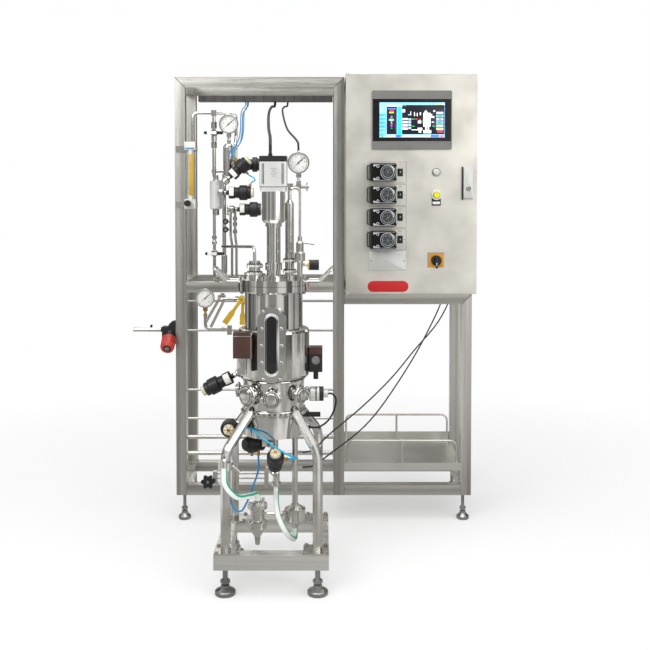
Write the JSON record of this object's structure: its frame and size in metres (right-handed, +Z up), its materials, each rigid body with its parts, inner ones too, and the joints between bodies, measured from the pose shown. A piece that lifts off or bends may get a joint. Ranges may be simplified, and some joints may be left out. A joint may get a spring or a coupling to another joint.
{
  "type": "bench bioreactor",
  "caption": "Jacketed stainless stirred vessel with top drive on a skid, joined by pipework to a tube stand with gauges, flow meter, valves, tray and control cabinet with pumps and screen.",
  "frame": {"origin": "on the floor under the middle of the machine's box, without its cords", "axes": "+Z up, +X to the right seen from the front, +Y to the rear; the front with the vessel faces -Y"},
  "size_m": [1.273, 1.0258, 1.66],
  "materials": {
    "tube_steel": "satin brushed stainless tube",
    "foot_steel": "turned stainless",
    "tray_steel": "satin sheet, bent rod rails",
    "duct_grey": "grey slotted duct",
    "cabinet_steel": "fine vertical brushing, stainless sheet",
    "gear_grey": "grey modules on a plate",
    "bezel_grey": "satin grey moulding",
    "screen": "black glass over a lit display",
    "black_plastic": "black moulding, slight sheen",
    "clear_cover": "clear acrylic",
    "rotor_metal": "turned, satin",
    "yellow_plastic": "glossy yellow",
    "chrome_zinc": "satin plated zinc",
    "polished_steel": "mirror polished stainless",
    "sight_pane": "dark thick glass",
    "motor_aluminium": "bead-blasted silver body",
    "gauge_steel": "polished bezel, white dial, brass stem",
    "meter_white": "white end blocks, clear tube",
    "red_plastic": "glossy red",
    "black_cable": "black sheath",
    "blue_tube": "blue polyurethane",
    "cyan_tube": "bright blue polyurethane",
    "white_hose": "white braided hose with a green stripe"
  },
  "bodies": {
    "stand": {"frame_posts": "tube_steel", "frame_rails": "tube_steel", "levelling_feet": "foot_steel", "shelf_tray": "tray_steel", "cable_duct": "duct_grey", "cabinet_shell": "cabinet_steel", "control_gear": "gear_grey", "skid_base": "tube_steel", "vessel_legs": "polished_steel", "vessel_body": "polished_steel", "heating_jacket": "polished_steel", "vessel_lid": "polished_steel", "lid_bolts": "polished_steel", "sight_glass_frame": "polished_steel", "sight_glass": "sight_pane", "side_ports": "polished_steel", "lid_ports": "polished_steel", "drive_motor": "motor_aluminium", "motor_cap": "black_plastic", "drive_lantern": "polished_steel", "exhaust_line": "polished_steel", "gauges": "gauge_steel", "valve_actuators": "black_plastic", "process_pipes": "polished_steel", "rotameter": "meter_white", "inlet_regulator": "black_plastic", "drain_traps": "polished_steel", "sensor_heads": "black_plastic", "motor_cable": "black_cable", "sensor_cable": "black_cable", "air_tubes": "blue_tube", "air_loop": "cyan_tube", "signal_tube": "cyan_tube", "vent_tube": "blue_tube", "steam_hose_upper": "white_hose", "steam_hose_lower": "white_hose", "probe_cable": "black_cable", "bay_cable_left": "black_cable", "bay_cable_right": "black_cable"},
    "door": {"cabinet_door": "cabinet_steel", "hmi_bezel": "bezel_grey", "hmi_screen": "screen", "pump_housings": "black_plastic", "pump_covers": "clear_cover", "rocker_switches": "black_plastic", "door_plates": "cabinet_steel"},
    "rotor_1": {"pump_rotor_1": "rotor_metal"},
    "rotor_2": {"pump_rotor_2": "rotor_metal"},
    "rotor_3": {"pump_rotor_3": "rotor_metal"},
    "rotor_4": {"pump_rotor_4": "rotor_metal"},
    "button": {"push_button": "yellow_plastic"},
    "switch_knob": {"main_switch_knob": "black_plastic"},
    "handle": {"door_handle": "chrome_zinc"},
    "stirrer": {"agitator": "polished_steel"},
    "upper_lever": {"ball_lever_upper": "black_plastic"},
    "lower_lever": {"ball_lever_lower": "black_plastic"},
    "left_yellow_lever": {"yellow_lever_left": "yellow_plastic"},
    "right_yellow_lever": {"yellow_lever_right": "yellow_plastic"},
    "star_wheel": {"star_handwheel": "black_plastic"},
    "red_knob": {"regulator_knob": "red_plastic"}
  },
  "joints": [
    {"name": "door_hinge", "type": "hinge", "parent": "stand", "child": "door", "pos_m": [0.1595, 0.149, 1.25], "axis": [0, 0, 1], "range_deg": [-90, 0]},
    {"name": "rotor_1_spin", "type": "hinge", "parent": "door", "child": "rotor_1", "pos_m": [0.3055, 0.111, 1.298], "axis": [0, 1, 0], "continuous": true},
    {"name": "rotor_2_spin", "type": "hinge", "parent": "door", "child": "rotor_2", "pos_m": [0.3055, 0.111, 1.216], "axis": [0, 1, 0], "continuous": true},
    {"name": "rotor_3_spin", "type": "hinge", "parent": "door", "child": "rotor_3", "pos_m": [0.3055, 0.111, 1.134], "axis": [0, 1, 0], "continuous": true},
    {"name": "rotor_4_spin", "type": "hinge", "parent": "door", "child": "rotor_4", "pos_m": [0.3055, 0.111, 1.052], "axis": [0, 1, 0], "continuous": true},
    {"name": "button_press", "type": "slide", "parent": "door", "child": "button", "axis": [0, 1, 0], "range_m": [0, 0.004], "stiffness_N_per_m": 300},
    {"name": "switch_turn", "type": "hinge", "parent": "door", "child": "switch_knob", "pos_m": [0.4865, 0.1387, 0.975], "axis": [0, 1, 0], "range_deg": [0, 90]},
    {"name": "handle_turn", "type": "hinge", "parent": "door", "child": "handle", "pos_m": [0.6015, 0.1367, 1.305], "axis": [0, 1, 0], "range_deg": [0, 90]},
    {"name": "stirrer_spin", "type": "hinge", "parent": "stand", "child": "stirrer", "pos_m": [-0.0865, -0.322, 0.9], "axis": [0, 0, 1], "continuous": true},
    {"name": "upper_lever_turn", "type": "hinge", "parent": "stand", "child": "upper_lever", "pos_m": [-0.3245, 0.0977, 1.44], "axis": [0, 1, 0], "range_deg": [0, 90]},
    {"name": "lower_lever_turn", "type": "hinge", "parent": "stand", "child": "lower_lever", "pos_m": [-0.3245, 0.0977, 1.003], "axis": [0, 1, 0], "range_deg": [0, 90]},
    {"name": "left_yellow_turn", "type": "hinge", "parent": "stand", "child": "left_yellow_lever", "pos_m": [-0.2215, 0.0477, 0.8418], "axis": [0, -1, 0], "range_deg": [-90, 0]},
    {"name": "right_yellow_turn", "type": "hinge", "parent": "stand", "child": "right_yellow_lever", "pos_m": [-0.2195, 0.0877, 0.8298], "axis": [0, -1, 0], "range_deg": [0, 90]},
    {"name": "star_wheel_turn", "type": "hinge", "parent": "stand", "child": "star_wheel", "pos_m": [-0.3535, 0.133, 0.158], "axis": [0, 1, 0], "range_deg": [0, 720]},
    {"name": "red_knob_turn", "type": "hinge", "parent": "stand", "child": "red_knob", "pos_m": [-0.4985, 0.156, 0.686], "axis": [-0.024, -0.7998, -0.5998], "range_deg": [0, 720]}
  ]
}
